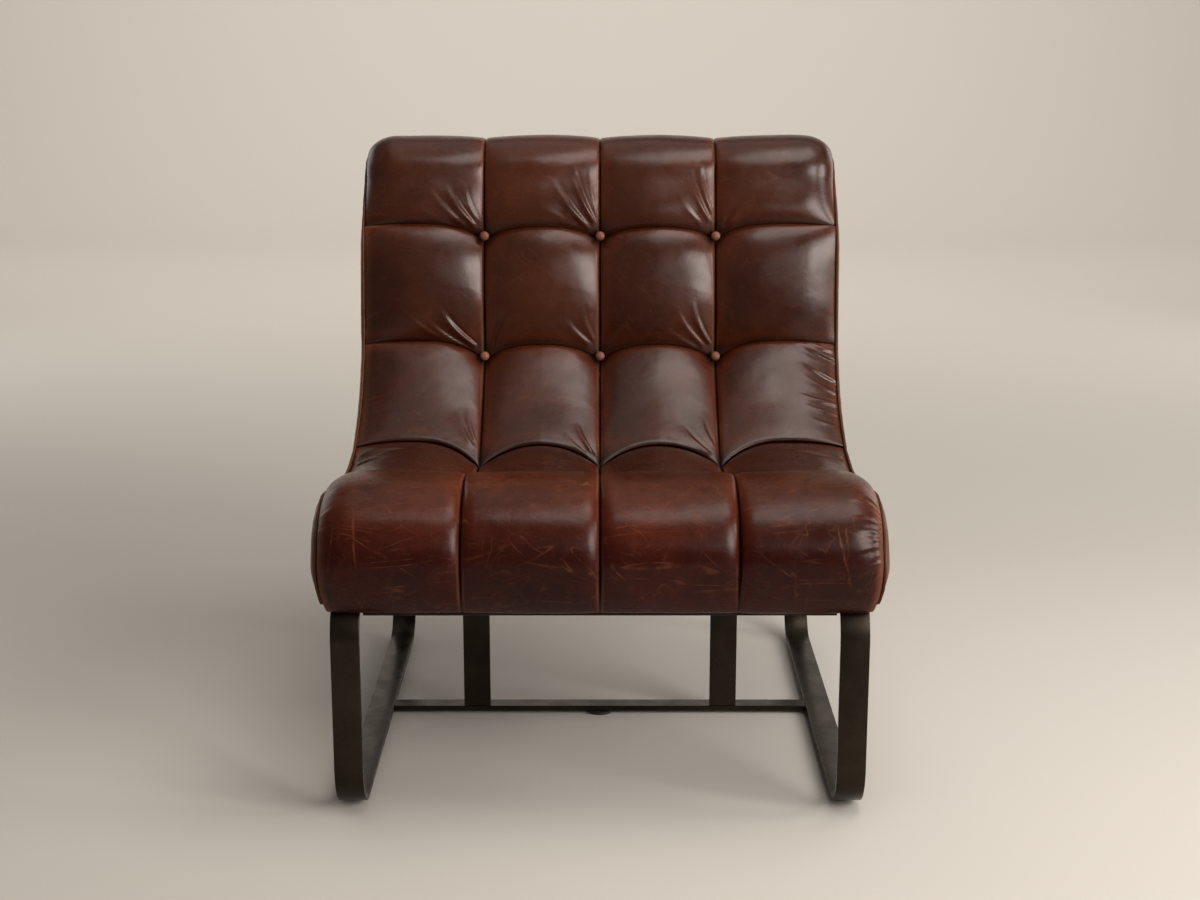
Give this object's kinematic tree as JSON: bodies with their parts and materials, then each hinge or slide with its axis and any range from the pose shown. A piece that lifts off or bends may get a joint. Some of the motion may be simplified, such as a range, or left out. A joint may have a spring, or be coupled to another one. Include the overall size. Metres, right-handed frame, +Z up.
{
  "type": "leather chair",
  "caption": "Armless lounge chair with a quilted, button-tufted leather seat and back over rolled ends, on two closed flat steel loops joined by cross bars.",
  "frame": {"origin": "on the floor, in the middle of the chair's width and depth", "axes": "+Z up, -Y the way a sitter faces, +X to the right in the front view"},
  "size_m": [0.7506, 0.7932, 0.8497],
  "materials": {
    "steel": "satin dark bronze on flat steel bar",
    "plastic": "black moulded glides",
    "leather": "waxed dark brown leather, rubbed lighter where it is touched",
    "edge_leather": "the same leather, rubbed to tan at folded seams and buttons",
    "timber": "bare plywood and timber inside the upholstery",
    "wire": "bare spring wire and bolts",
    "cloth": "black woven cloth and webbing"
  },
  "bodies": {
    "root": {"sled_left": "steel", "sled_right": "steel", "floor_stretcher": "steel", "upright_left": "steel", "upright_right": "steel", "middle_cross_bar": "steel", "front_cross_bar": "steel", "rear_cross_bar": "steel", "glide_front_left": "plastic", "glide_front_right": "plastic", "glide_rear_left": "plastic", "glide_rear_right": "plastic", "centre_glide": "plastic", "front_bolster": "leather", "seat_cushion": "leather", "back_cushion": "leather", "outside_back_panel": "leather", "side_panel_left": "leather", "side_panel_right": "leather", "welt_left": "edge_leather", "welt_right": "edge_leather", "button_1_1": "edge_leather", "button_1_2": "edge_leather", "button_1_3": "edge_leather", "button_2_1": "edge_leather", "button_2_2": "edge_leather", "button_2_3": "edge_leather", "ply_side_left": "timber", "ply_side_right": "timber", "front_timber": "timber", "rear_timber": "timber", "lumbar_timber": "timber", "top_timber": "timber", "bolt_front_left": "wire", "bolt_front_right": "wire", "bolt_rear_left": "wire", "bolt_rear_right": "wire", "seat_spring_1": "wire", "seat_spring_2": "wire", "seat_spring_3": "wire", "seat_spring_4": "wire", "back_web_1": "cloth", "back_web_2": "cloth", "back_web_3": "cloth", "dust_cover": "cloth"}
  },
  "joints": []
}
